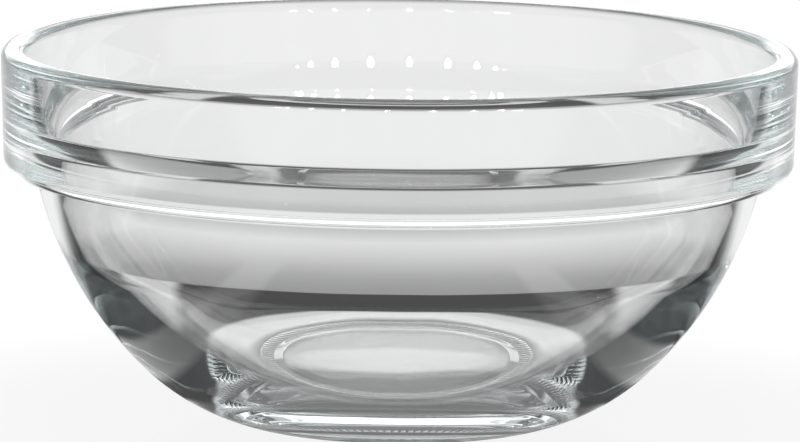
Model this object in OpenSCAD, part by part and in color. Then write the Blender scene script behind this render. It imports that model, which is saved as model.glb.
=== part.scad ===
// Stacking prep bowl of clear pressed glass, one piece.
// The bowl is a body of revolution about Z, standing on Z = 0, in millimetres.

/* [Overall] */
// Diameter over the rim
rim_d = 90; // [84:0.5:100]
// Height from the table to the top of the rim
bowl_h = 42.5; // [40:0.5:50]

/* [Rim and collar] */
// Thickness of the round bead at the rim
rim_t = 2.8; // [2:0.1:3.4]
// Height of the stacking collar, from its underside to the top of the rim
collar_h = 14.2; // [12.5:0.1:17]
// How far the rim stands out past the body under the collar, each side
collar_overhang = 3.9; // [3:0.1:6]
// How much the collar narrows from the rim to its underside, each side
collar_taper = 0.4; // [0:0.05:0.8]
// Radius of the collar's rounded lower edge
collar_edge_r = 1.9; // [1:0.1:3]
// How much the inside of the collar narrows down to the ledge, each side
throat_taper = 0.9; // [0.4:0.1:1.6]

/* [Inside ledge] */
// Depth of the ledge's outer corner below the top of the rim
ledge_depth = 7.9; // [7:0.1:9.6]
// Fall of the ledge over its width
ledge_fall = 2.2; // [1:0.1:2.6]
// Radius of the hollow where the collar's inside meets the ledge
ledge_hollow_r = 0.9; // [0.4:0.1:1.4]
// Radius of the ledge's inner edge
ledge_edge_r = 1.3; // [0.6:0.1:1.6]

/* [Body] */
// Outside radius of the curve between the belly and the foot
lower_curve_r = 24.6; // [20:0.1:28]
// Slope of the outside where the lower curve becomes the belly, in degrees
belly_angle = 43.5; // [38:0.5:48]
// Thickness of the wall where the inside follows the outside
wall_t = 1.95; // [1.6:0.05:2.6]
// Height above the table at which the wall starts to thicken towards the floor
thick_start_h = 20.5; // [17:0.1:24]
// Inside radius of the short curve where the wall starts to thicken
thick_curve_r = 16; // [10:0.5:22]
// How far that curve turns the inside away from the outside, in degrees
thick_turn = 9.5; // [6:0.5:14]
// Inside radius of the curve between the wall and the floor
floor_curve_r = 16.5; // [10:0.5:20]
// Slope of the inside where the floor's curve becomes the wall, in degrees
floor_angle = 36; // [28:0.5:40]

/* [Base] */
// Diameter of the standing ring, outside
foot_d = 32.4; // [28:0.1:36]
// Width of the flat that the bowl stands on
foot_w = 1.6; // [1:0.1:2.4]
// Radius of the rounded edge outside the standing ring
foot_edge_r = 8.35; // [6:0.05:10]
// Slope of the outside where the foot's edge becomes the lower curve, in degrees
foot_angle = 16; // [12:0.5:20]
// Height of the shallow recess inside the standing ring
recess_h = 0.5; // [0.3:0.05:1.2]
// Width of the slope between the standing ring and the recess
recess_slope_w = 1.2; // [0.5:0.05:1.6]
// Thickness of the glass floor over the recess
floor_t = 3.6; // [2.6:0.1:4.6]

/* [Smoothness] */
// How far each short step of a round stretch turns, in degrees
step_angle = 6; // [3:1:12]

/* [Hidden] */
$fn = 180;

rim_r = rim_d / 2;
bead_r = rim_t / 2;
body_r = rim_r - collar_overhang;
foot_r = foot_d / 2;
collar_z = bowl_h - collar_h;
floor_z = recess_h + floor_t;
glass_colour = [0.80, 0.90, 0.89, 0.55];

// An outline is a list of corners. From a corner to the next the edge is straight, or a round stretch
// whose radius is given with the corner: above zero it swells, below zero it is hollow.
function corner(p, r = 0) = [p, r];

// The end of a round stretch that starts at p with slope a0 and turns until its slope is a1
function arc_end(p, r, a0, a1) = p + r * [sin(a1) - sin(a0), cos(a0) - cos(a1)];

// The radius of the round stretch that leaves p with slope a and runs through q
function arc_r(p, a, q) = (q - p) * (q - p) / (2 * (q - p) * [-sin(a), cos(a)]);

function unit(v) = v / norm(v);

// The two corners that replace q when radius r rounds it between p and s; side is 1 where the edge
// swells and -1 where it is hollow
function rounded(p, q, s, r, side) =
    let (to_p = unit(p - q), to_s = unit(s - q), reach = r / tan(acos(to_p * to_s) / 2))
    [corner(q + reach * to_p, side * r), corner(q + reach * to_s)];

function turned(v, a) = [v[0] * cos(a) - v[1] * sin(a), v[0] * sin(a) + v[1] * cos(a)];

// The round stretch from a up to but without b, as short steps. Its centre lies on the left of the
// way from a to b when side is 1, and on the right when it is -1.
function round_points(a, b, r, side) =
    let (
        half_chord = (b - a) / 2,
        half_turn = asin(norm(half_chord) / r),
        centre = a + half_chord + side * r * cos(half_turn) * turned(unit(half_chord), 90),
        steps = ceil(2 * half_turn / step_angle)
    )
    [for (i = [0:steps - 1]) centre + turned(a - centre, side * 2 * half_turn * i / steps)];

// Outside of the foot and body, from the standing ring up to the collar's underside
foot_start = [foot_r, 0];
foot_end = arc_end(foot_start, foot_edge_r, 0, foot_angle);
lower_end = arc_end(foot_end, lower_curve_r, foot_angle, belly_angle);
body_top = [body_r, collar_z];
belly_r = arc_r(lower_end, belly_angle, body_top);

// Outside and inside of the collar, which both run up to the sides of the rim's bead
rim_out = [rim_r, bowl_h - bead_r];
rim_top = [rim_r - bead_r, bowl_h];
rim_in = [rim_r - rim_t, bowl_h - bead_r];
collar_low = [rim_r - collar_taper, collar_z];
ledge_out = [rim_in[0] - throat_taper, bowl_h - ledge_depth];

// Inside of the wall, which runs round the belly's own centre, so that it follows the outside
belly_centre = lower_end + belly_r * [-sin(belly_angle), cos(belly_angle)];
inner_belly_r = belly_r - wall_t;
function wall_slope(z) = acos((belly_centre[1] - z) / inner_belly_r);
function wall_point(slope) = belly_centre + inner_belly_r * [sin(slope), -cos(slope)];

// The ledge ends on the line that the wall's upper end points along
wall_top_slope = wall_slope(ledge_out[1] - ledge_fall - ledge_edge_r);
wall_top = wall_point(wall_top_slope);
ledge_in = wall_top + ledge_edge_r * [1 / tan(wall_top_slope), 1];

// Below its even part the inside turns in to the floor: a short curve, the lower wall and the floor's
// curve. The lower wall's radius is the one that lets the floor's curve end level with the floor.
thick_slope = wall_slope(thick_start_h);
thick_start = wall_point(thick_slope);
lower_wall_slope = thick_slope - thick_turn;
thick_end = arc_end(thick_start, thick_curve_r, thick_slope, lower_wall_slope);
floor_curve_h = floor_curve_r * (1 - cos(floor_angle));
lower_wall_h = thick_end[1] - floor_z - floor_curve_h;
lower_wall_r = lower_wall_h / (cos(floor_angle) - cos(lower_wall_slope));
floor_curve_end = arc_end(thick_end, lower_wall_r, lower_wall_slope, floor_angle);
floor_start = arc_end(floor_curve_end, floor_curve_r, floor_angle, 0);

// Underside, from the recess to the standing ring
ring_in = [foot_r - foot_w, 0];
recess_edge = [ring_in[0] - recess_slope_w, recess_h];

// Half of the section through the glass, all the way round from the middle of the recess
outline = concat(
    [corner([0, recess_h]), corner(recess_edge), corner(ring_in)],
    [corner(foot_start, foot_edge_r), corner(foot_end, lower_curve_r), corner(lower_end, belly_r)],
    [corner(body_top)],
    rounded(body_top, collar_low, rim_out, collar_edge_r, 1),
    [corner(rim_out, bead_r), corner(rim_top, bead_r), corner(rim_in)],
    rounded(rim_in, ledge_out, ledge_in, ledge_hollow_r, -1),
    rounded(ledge_out, ledge_in, wall_top, ledge_edge_r, 1),
    [corner(wall_top, -inner_belly_r), corner(thick_start, -thick_curve_r)],
    [corner(thick_end, -lower_wall_r), corner(floor_curve_end, -floor_curve_r)],
    [corner(floor_start), corner([0, floor_z])]
);

module section() {
    polygon([for (i = [0:len(outline) - 1])
        let (p = outline[i][0], r = outline[i][1])
        each (r == 0 ? [p] : round_points(p, outline[i + 1][0], abs(r), sign(r)))]);
}

module bowl() {
    color(glass_colour) rotate_extrude() section();
}

bowl();
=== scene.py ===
import math

import bmesh
import bpy
from mathutils import Matrix, Vector


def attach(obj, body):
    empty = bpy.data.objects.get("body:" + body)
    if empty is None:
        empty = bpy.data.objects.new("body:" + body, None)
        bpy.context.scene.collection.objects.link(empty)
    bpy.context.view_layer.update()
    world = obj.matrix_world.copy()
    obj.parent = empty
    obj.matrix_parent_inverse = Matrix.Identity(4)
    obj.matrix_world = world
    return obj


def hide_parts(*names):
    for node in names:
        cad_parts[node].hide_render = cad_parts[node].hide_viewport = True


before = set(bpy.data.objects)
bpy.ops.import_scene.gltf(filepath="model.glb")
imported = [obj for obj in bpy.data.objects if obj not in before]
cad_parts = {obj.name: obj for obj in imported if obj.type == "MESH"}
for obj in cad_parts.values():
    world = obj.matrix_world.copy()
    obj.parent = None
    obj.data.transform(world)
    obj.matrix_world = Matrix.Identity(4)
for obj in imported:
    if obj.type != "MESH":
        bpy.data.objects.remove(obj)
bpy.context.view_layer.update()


# The bowl
# One piece of clear soda-lime glass, pressed in a mould and fire-polished, so that its edges are
# soft. The mould gives the outside and the plunger the inside. The collar's underside rests on the
# rim of the next bowl in a stack, and the bowl stands on a narrow ring with fine grip marks.

mm = 0.001

rim_radius = 45 * mm
bowl_height = 42.5 * mm
rim_bead_radius = 1.4 * mm
collar_height = 14.2 * mm
collar_taper = 0.4 * mm
collar_edge_radius = 1.9 * mm
throat_taper = 0.9 * mm
ledge_depth = 7.9 * mm
ledge_fall = 2.2 * mm
ledge_hollow_radius = 0.9 * mm
ledge_edge_radius = 1.3 * mm
body_radius = 41.1 * mm
body_fillet_radius = 0.6 * mm
lower_curve_radius = 24.6 * mm
belly_angle = 43.5
wall_thickness = 1.95 * mm
thickening_height = 20.5 * mm
thickening_curve_radius = 16 * mm
thickening_turn = 9.5
floor_curve_radius = 16.5 * mm
floor_angle = 36
floor_thickness = 3.6 * mm
foot_radius = 16.2 * mm
foot_width = 1.6 * mm
foot_edge_radius = 8.35 * mm
foot_angle = 16
recess_height = 0.5 * mm
recess_slope_width = 1.2 * mm
recess_corner_radius = 0.5 * mm
ring_corner_radius = 0.3 * mm
steps_around = 360
grip_marks = 120
grip_mark_depth = 0.12 * mm
grip_mark_share = 0.1
merge_distance = 0.001 * mm
longest_edge = 1.6 * mm
glass_ior = 1.52
glass_tint = (0.88, 0.92, 0.92, 1)
tint_density = 26
waves_per_metre = 90
wave_height = 0.03 * mm
dull_places_per_metre = 60
dull_from = 0.55
dull_to = 0.8
most_roughness = 0.03


def point(radius, height):
    return Vector((radius, 0, height))


def rounded_corner(before, corner, after, radius):
    # The two points where a fillet of that radius leaves the straight edges beside the corner
    to_before = (before - corner).normalized()
    to_after = (after - corner).normalized()
    reach = radius / math.tan(to_before.angle(to_after) / 2)
    return corner + reach * to_before, corner + reach * to_after


def from_centre(radius, slope):
    # From a curve's centre to where the curve has that slope, in degrees
    return radius * point(math.sin(math.radians(slope)), -math.cos(math.radians(slope)))


def curve_end(start, radius, start_slope, end_slope):
    return start + from_centre(radius, end_slope) - from_centre(radius, start_slope)


class Outline:
    # A line drawn with one vertex, which is extruded along a straight stretch and spun round the
    # centre of a curved one
    def __init__(self, start):
        self.mesh = bmesh.new()
        self.tip = self.mesh.verts.new(start)

    def straight(self, end, longest=longest_edge):
        steps = max(1, math.ceil((end - self.tip.co).length / longest))
        step = (end - self.tip.co) / steps
        for _ in range(steps):
            self.tip = bmesh.ops.extrude_vert_indiv(self.mesh, verts=[self.tip])["verts"][0]
            bmesh.ops.translate(self.mesh, verts=[self.tip], vec=step)

    def curve(self, end, radius, turn_per_step=3):
        # Above zero the radius makes the glass swell, and below zero it makes a hollow
        chord = end - self.tip.co
        half_turn = math.asin(min(1, chord.length / (2 * abs(radius))))
        side = math.copysign(1, radius)
        inward = side * Vector((-chord.z, 0, chord.x)).normalized()
        centre = self.tip.co + chord / 2 + inward * abs(radius) * math.cos(half_turn)
        steps = max(2, math.ceil(math.degrees(2 * half_turn) / turn_per_step))
        swept = bmesh.ops.spin(
            self.mesh, geom=[self.tip], cent=centre, axis=(0, -side, 0),
            angle=2 * half_turn, steps=steps, use_duplicate=False)
        self.tip = swept["geom_last"][0]
        self.tip.co = end

    def fillet(self, before, corner, after, radius, turn_per_step=6):
        first, last = rounded_corner(before, corner, after, abs(radius))
        self.straight(first)
        self.curve(last, radius, turn_per_step)


foot_start = point(foot_radius, 0)
foot_end = curve_end(foot_start, foot_edge_radius, 0, foot_angle)
lower_end = curve_end(foot_end, lower_curve_radius, foot_angle, belly_angle)
body_top = point(body_radius, bowl_height - collar_height)
belly_chord = body_top - lower_end
belly_heading = point(math.cos(math.radians(belly_angle)), math.sin(math.radians(belly_angle)))
belly_radius = belly_chord.length / (2 * math.sin(belly_heading.angle(belly_chord)))
belly_centre = lower_end - from_centre(belly_radius, belly_angle)


def belly_point(radius, height):
    slope = math.degrees(math.acos((belly_centre.z - height) / radius))
    return belly_centre + from_centre(radius, slope), slope


belly_last = belly_point(belly_radius, body_top.z - body_fillet_radius)[0]

rim_side_height = bowl_height - rim_bead_radius
rim_out = point(rim_radius, rim_side_height)
rim_top = point(rim_radius - rim_bead_radius, bowl_height)
rim_in = point(rim_radius - 2 * rim_bead_radius, rim_side_height)
collar_low = point(rim_radius - collar_taper, bowl_height - collar_height)

# The ledge ends on the line that the wall's upper end points along
ledge_out = point(rim_in.x - throat_taper, bowl_height - ledge_depth)
inner_belly_radius = belly_radius - wall_thickness
wall_top, wall_top_slope = belly_point(inner_belly_radius, ledge_out.z - ledge_fall - ledge_edge_radius)
ledge_in = wall_top + ledge_edge_radius * point(1 / math.tan(math.radians(wall_top_slope)), 1)

# Below its even part the wall thickens, down to the floor that its last curve runs into
floor_height = recess_height + floor_thickness
thickening, thickening_slope = belly_point(inner_belly_radius, thickening_height)
lower_wall_slope = thickening_slope - thickening_turn
lower_wall = curve_end(thickening, thickening_curve_radius, thickening_slope, lower_wall_slope)
floor_curve_height = floor_height + floor_curve_radius + from_centre(floor_curve_radius, floor_angle).z
lower_wall_drop = from_centre(1, lower_wall_slope).z - from_centre(1, floor_angle).z
lower_wall_radius = (lower_wall.z - floor_curve_height) / lower_wall_drop
floor_curve = curve_end(lower_wall, lower_wall_radius, lower_wall_slope, floor_angle)
floor_edge = curve_end(floor_curve, floor_curve_radius, floor_angle, 0)

ring_in = point(foot_radius - foot_width, 0)
recess_edge = point(ring_in.x - recess_slope_width, recess_height)
recess_centre = point(0, recess_height)

section = Outline(recess_centre)
section.fillet(recess_centre, recess_edge, ring_in, -recess_corner_radius, 12)
section.fillet(recess_edge, ring_in, foot_start, ring_corner_radius, 12)
section.straight(foot_start)
section.curve(foot_end, foot_edge_radius)
section.curve(lower_end, lower_curve_radius, 2)
section.curve(belly_last, belly_radius, 2)
section.curve(body_top + point(body_fillet_radius, 0), -body_fillet_radius, 12)
section.fillet(body_top, collar_low, rim_out, collar_edge_radius)
section.straight(rim_out)
section.curve(rim_top, rim_bead_radius, 6)
section.curve(rim_in, rim_bead_radius, 6)
section.fillet(rim_in, ledge_out, ledge_in, -ledge_hollow_radius)
section.fillet(ledge_out, ledge_in, wall_top, ledge_edge_radius)
section.straight(wall_top)
section.curve(thickening, -inner_belly_radius, 2)
section.curve(lower_wall, -thickening_curve_radius, 1)
section.curve(floor_curve, -lower_wall_radius, 1)
section.curve(floor_edge, -floor_curve_radius, 2)
section.straight(point(0, floor_height))

glass = section.mesh
bmesh.ops.spin(
    glass, geom=glass.verts[:] + glass.edges[:], cent=(0, 0, 0), axis=(0, 0, 1),
    angle=2 * math.pi, steps=steps_around, use_merge=True, use_duplicate=False)
bmesh.ops.remove_doubles(glass, verts=glass.verts, dist=merge_distance)
bmesh.ops.recalc_face_normals(glass, faces=glass.faces)

# Every third line of the standing ring is pressed in, which leaves the fine grip marks
mark_turn = 2 * math.pi / grip_marks
for vertex in glass.verts:
    if vertex.co.z < merge_distance and vertex.co.xy.length > ring_in.x:
        turn = math.atan2(vertex.co.y, vertex.co.x) / mark_turn
        if abs(turn - round(turn)) < grip_mark_share:
            vertex.co.z += grip_mark_depth
for face in glass.faces:
    face.smooth = True

bowl_mesh = bpy.data.meshes.new("glass_bowl")
glass.to_mesh(bowl_mesh)
glass.free()
bowl = bpy.data.objects.new("glass_bowl", bowl_mesh)
bpy.context.scene.collection.objects.link(bowl)

clear_glass = bpy.data.materials.new("clear_pressed_glass")
clear_glass.use_nodes = True
nodes = clear_glass.node_tree.nodes
links = clear_glass.node_tree.links
shader = nodes["Principled BSDF"]
shader.inputs["Base Color"].default_value = (1, 1, 1, 1)
shader.inputs["Transmission Weight"].default_value = 1
shader.inputs["IOR"].default_value = glass_ior
surface_place = nodes.new("ShaderNodeTexCoord")

# The pressed surface waves very slightly
waves = nodes.new("ShaderNodeTexNoise")
waves.inputs["Scale"].default_value = waves_per_metre
waves.inputs["Detail"].default_value = 1
links.new(surface_place.outputs["Object"], waves.inputs["Vector"])
wave_bump = nodes.new("ShaderNodeBump")
wave_bump.inputs["Distance"].default_value = wave_height
links.new(waves.outputs["Fac"], wave_bump.inputs["Height"])
links.new(wave_bump.outputs["Normal"], shader.inputs["Normal"])

# Handling leaves the polish faintly dull in a few places
dull = nodes.new("ShaderNodeTexNoise")
dull.inputs["Scale"].default_value = dull_places_per_metre
dull.inputs["Detail"].default_value = 4
links.new(surface_place.outputs["Object"], dull.inputs["Vector"])
dullness = nodes.new("ShaderNodeMapRange")
dullness.inputs["From Min"].default_value = dull_from
dullness.inputs["From Max"].default_value = dull_to
dullness.inputs["To Max"].default_value = most_roughness
links.new(dull.outputs["Fac"], dullness.inputs["Value"])
links.new(dullness.outputs["Result"], shader.inputs["Roughness"])

body_tint = nodes.new("ShaderNodeVolumeAbsorption")
body_tint.inputs["Color"].default_value = glass_tint
body_tint.inputs["Density"].default_value = tint_density
links.new(body_tint.outputs["Volume"], nodes["Material Output"].inputs["Volume"])
bowl_mesh.materials.append(clear_glass)

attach(bowl, "root")
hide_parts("bowl")


# The table
# A white table, which the camera sees with a faint painted shadow round the bowl. Rays that come
# through the glass or off it see a deeper painted shadow and painted light on it instead: a dark ring
# round bright ones, with two bright streaks, and a dark wedge at each side. It stands in for the bowl's
# own shadow and gathered light, and was set to suit the photograph.

table_radius = 6.0
table_roughness = 0.3
table_white = (0.9, 0.9, 0.9, 1)
table_segments = 128
glow_length = 12.5 * mm
glow_width = 5 * mm
glow_edge = 0.35
glow_light = 0.4
base_light_in_front = 0.18
base_light_behind = 0.08
ring_inside = 17.8 * mm
ring_outside = 24.6 * mm
ring_edge = 1.6 * mm
ring_light_in_front = 0.2
ring_light_behind = 0.75
front_turn = 8 * mm
shadow_light = 0.04
streak_offset = 34 * mm
streak_half_width = 4.5 * mm
streak_edge = 2.5 * mm
streak_light = 0.75
shadow_end = 60.5 * mm
shadow_edge = 2.5 * mm
near_light = 0.35
clear_distance = 105 * mm
clear_light = 0.9
plain_light = 1.04
wedge_middle = math.radians(72)
wedge_half_width = math.radians(20)
wedge_edge = math.radians(8)
wedge_start = 44 * mm
wedge_end = 400 * mm
wedge_fade = 200 * mm
wedge_light = 0.08
plain_shadow_edge = 50 * mm
plain_shadow_light = 0.93
painted_share = 0.95

table_shape = bmesh.new()
bmesh.ops.create_circle(table_shape, cap_ends=True, radius=table_radius, segments=table_segments)
table_mesh = bpy.data.meshes.new("table")
table_shape.to_mesh(table_mesh)
table_shape.free()
table = bpy.data.objects.new("table", table_mesh)
bpy.context.scene.collection.objects.link(table)
white = bpy.data.materials.new("white_table_with_painted_shadow")
white.use_nodes = True
nodes = white.node_tree.nodes
links = white.node_tree.links
nodes["Principled BSDF"].inputs["Base Color"].default_value = table_white
nodes["Principled BSDF"].inputs["Roughness"].default_value = table_roughness


def connect(value, socket):
    # A value is a number or the output of another node
    if isinstance(value, bpy.types.NodeSocket):
        links.new(value, socket)
    else:
        socket.default_value = value


def calculated(operation, *values):
    node = nodes.new("ShaderNodeMath")
    node.operation = operation
    for value, socket in zip(values, node.inputs):
        connect(value, socket)
    return node.outputs["Value"]


def ramp(value, start, end, level_before, level_after):
    node = nodes.new("ShaderNodeMapRange")
    node.interpolation_type = "SMOOTHSTEP"
    for name, level in (("Value", value), ("From Min", start), ("From Max", end),
                        ("To Min", level_before), ("To Max", level_after)):
        connect(level, node.inputs[name])
    return node.outputs["Result"]


def soft_edge(value, middle, width, level_inside, level_outside):
    return ramp(value, middle - width / 2, middle + width / 2, level_inside, level_outside)


def distance(x, y):
    return calculated("SQRT", calculated("ADD", calculated("POWER", x, 2), calculated("POWER", y, 2)))


table_place = nodes.new("ShaderNodeTexCoord")
table_parts = nodes.new("ShaderNodeSeparateXYZ")
links.new(table_place.outputs["Object"], table_parts.inputs["Vector"])
across = table_parts.outputs["X"]
behind = table_parts.outputs["Y"]
from_middle = distance(across, behind)
from_glow = distance(calculated("DIVIDE", across, glow_length), calculated("DIVIDE", behind, glow_width))
# Painted shade and painted light for rays through the glass: a painted bright middle, a painted bright
# ring, a painted shadow crossed by two painted bright streaks, and painted dark wedges at the sides
base_light = ramp(behind, -front_turn, front_turn, base_light_in_front, base_light_behind)
ring_light = ramp(behind, -front_turn, front_turn, ring_light_in_front, ring_light_behind)
from_streak = calculated("ABSOLUTE", calculated("SUBTRACT", calculated("ABSOLUTE", across), streak_offset))
dark = soft_edge(from_streak, streak_half_width, streak_edge, streak_light, shadow_light)
beyond = ramp(from_middle, shadow_end, clear_distance, near_light, clear_light)
turn = calculated("ABSOLUTE", calculated("ARCTAN2", across, behind))
from_wedge = calculated("ABSOLUTE", calculated("SUBTRACT", turn, wedge_middle))
wedge = soft_edge(from_wedge, wedge_half_width, wedge_edge, wedge_light, 1.0)
wedge = soft_edge(from_middle, wedge_start, shadow_edge, 1.0, wedge)
wedge = soft_edge(from_middle, wedge_end, wedge_fade, wedge, 1.0)
light = soft_edge(from_glow, 1.0, glow_edge, glow_light, base_light)
light = soft_edge(from_middle, ring_inside, ring_edge, light, ring_light)
light = soft_edge(from_middle, ring_outside, ring_edge, light, dark)
light = soft_edge(from_middle, shadow_end, shadow_edge, light, beyond)
light = calculated("MULTIPLY", light, wedge)
# The camera sees the table white, with a faint painted shadow round the bowl
camera_white_with_painted_shadow = soft_edge(from_middle, shadow_end, plain_shadow_edge, plain_shadow_light, plain_light)
ray = nodes.new("ShaderNodeLightPath")
direct = ray.outputs["Is Camera Ray"]
seen = calculated("ADD", calculated("MULTIPLY", direct, camera_white_with_painted_shadow),
                  calculated("MULTIPLY", calculated("SUBTRACT", 1, direct), light))
through_glass = calculated("ADD", ray.outputs["Is Glossy Ray"], ray.outputs["Is Transmission Ray"])
shown = calculated("MINIMUM", calculated("ADD", direct, through_glass), 1)
glow = nodes.new("ShaderNodeEmission")
links.new(seen, glow.inputs["Strength"])
mix = nodes.new("ShaderNodeMixShader")
links.new(calculated("MULTIPLY", shown, painted_share), mix.inputs[0])
links.new(nodes["Principled BSDF"].outputs["BSDF"], mix.inputs[1])
links.new(glow.outputs["Emission"], mix.inputs[2])
links.new(mix.outputs["Shader"], nodes["Material Output"].inputs["Surface"])
table_mesh.materials.append(white)


# The studio
# Soft white light from behind, with a brighter panel low in its middle, weaker light from the front,
# and dark screens at both sides, which give clear glass its dark edges. A flat ring of small lamps in
# front, a little above the camera, gives the dotted highlights.

behind_light = 0.85
panel_light = 2.1
panel_half_width = math.radians(24)
panel_edge = math.radians(8)
panel_bottom = math.radians(4)
panel_top = math.radians(17)
panel_end = math.radians(4)
side_light = 0.08
side_start = math.radians(38)
side_end = math.radians(118)
side_edge = math.radians(12)
front_light = 0.45
high_start = math.radians(42)
high_edge = math.radians(10)
high_light = 0.2

world = bpy.data.worlds.new("studio")
world.use_nodes = True
bpy.context.scene.world = world
nodes = world.node_tree.nodes
links = world.node_tree.links
direction = nodes.new("ShaderNodeTexCoord")
parts = nodes.new("ShaderNodeSeparateXYZ")
links.new(direction.outputs["Generated"], parts.inputs["Vector"])
elevation = calculated("ARCSINE", parts.outputs["Z"])
turn = calculated("ABSOLUTE", calculated("ARCTAN2", parts.outputs["X"], parts.outputs["Y"]))
panel = soft_edge(elevation, panel_bottom, panel_end, behind_light, panel_light)
panel = soft_edge(elevation, panel_top, panel_end, panel, behind_light)
level = soft_edge(turn, panel_half_width, panel_edge, panel, behind_light)
level = soft_edge(turn, side_start, side_edge, level, side_light)
level = soft_edge(turn, side_end, side_edge, level, front_light)
level = soft_edge(elevation, high_start, high_edge, level, high_light)
links.new(level, nodes["Background"].inputs["Strength"])
nodes["Background"].inputs["Color"].default_value = (1, 1, 1, 1)

# Light goes round inside the thick glass many times before it leaves
most_bounces = 48
bpy.context.scene.cycles.max_bounces = most_bounces
bpy.context.scene.cycles.glossy_bounces = most_bounces
bpy.context.scene.cycles.transmission_bounces = most_bounces

lamp_count = 19
lamp_ring_half_width = 1.0
lamp_ring_half_height = 0.1
lamp_ring_middle = Vector((0, -1.43, 0.4))
lamp_diameter = 0.05
lamp_energy = 0.8
for number in range(lamp_count):
    lamp_data = bpy.data.lights.new("studio_lamp", "AREA")
    lamp_data.shape = "DISK"
    lamp_data.size = lamp_diameter
    lamp_data.energy = lamp_energy
    lamp = bpy.data.objects.new("studio_lamp", lamp_data)
    bpy.context.scene.collection.objects.link(lamp)
    around = 2 * math.pi * number / lamp_count
    lamp_place = lamp_ring_middle + Vector(
        (lamp_ring_half_width * math.cos(around), 0, lamp_ring_half_height * math.sin(around)))
    lamp_facing = lamp_place.to_track_quat("Z", "Y").to_matrix().to_4x4()
    lamp.matrix_world = Matrix.Translation(lamp_place) @ lamp_facing


# The camera
# It looks down a little, from about a metre away with a long lens, as the photograph does.

camera_elevation = math.radians(8.6)
camera_distance = 1018.9 * mm
look_height = 21.5 * mm
photo_width = 800
photo_height = 442
middle_x = 397.8
middle_y = 230.8
camera_roll = math.radians(0.63)
camera_sensor = 36
camera_lens = 405
camera_reach = 100

camera_data = bpy.data.cameras.new("camera")
camera_data.sensor_width = camera_sensor
camera_data.lens = camera_lens
camera_data.shift_x = (photo_width / 2 - middle_x) / photo_width
camera_data.shift_y = (middle_y - photo_height / 2) / photo_width
camera_data.clip_end = camera_reach
camera = bpy.data.objects.new("camera", camera_data)
bpy.context.scene.collection.objects.link(camera)
back = Vector((0, -math.cos(camera_elevation), math.sin(camera_elevation)))
place = back * camera_distance + Vector((0, 0, look_height))
facing = (-back).to_track_quat("-Z", "Y").to_matrix().to_4x4()
camera.matrix_world = Matrix.Translation(place) @ facing @ Matrix.Rotation(camera_roll, 4, "Z")
bpy.context.scene.camera = camera
bpy.context.scene.view_settings.view_transform = "Standard"
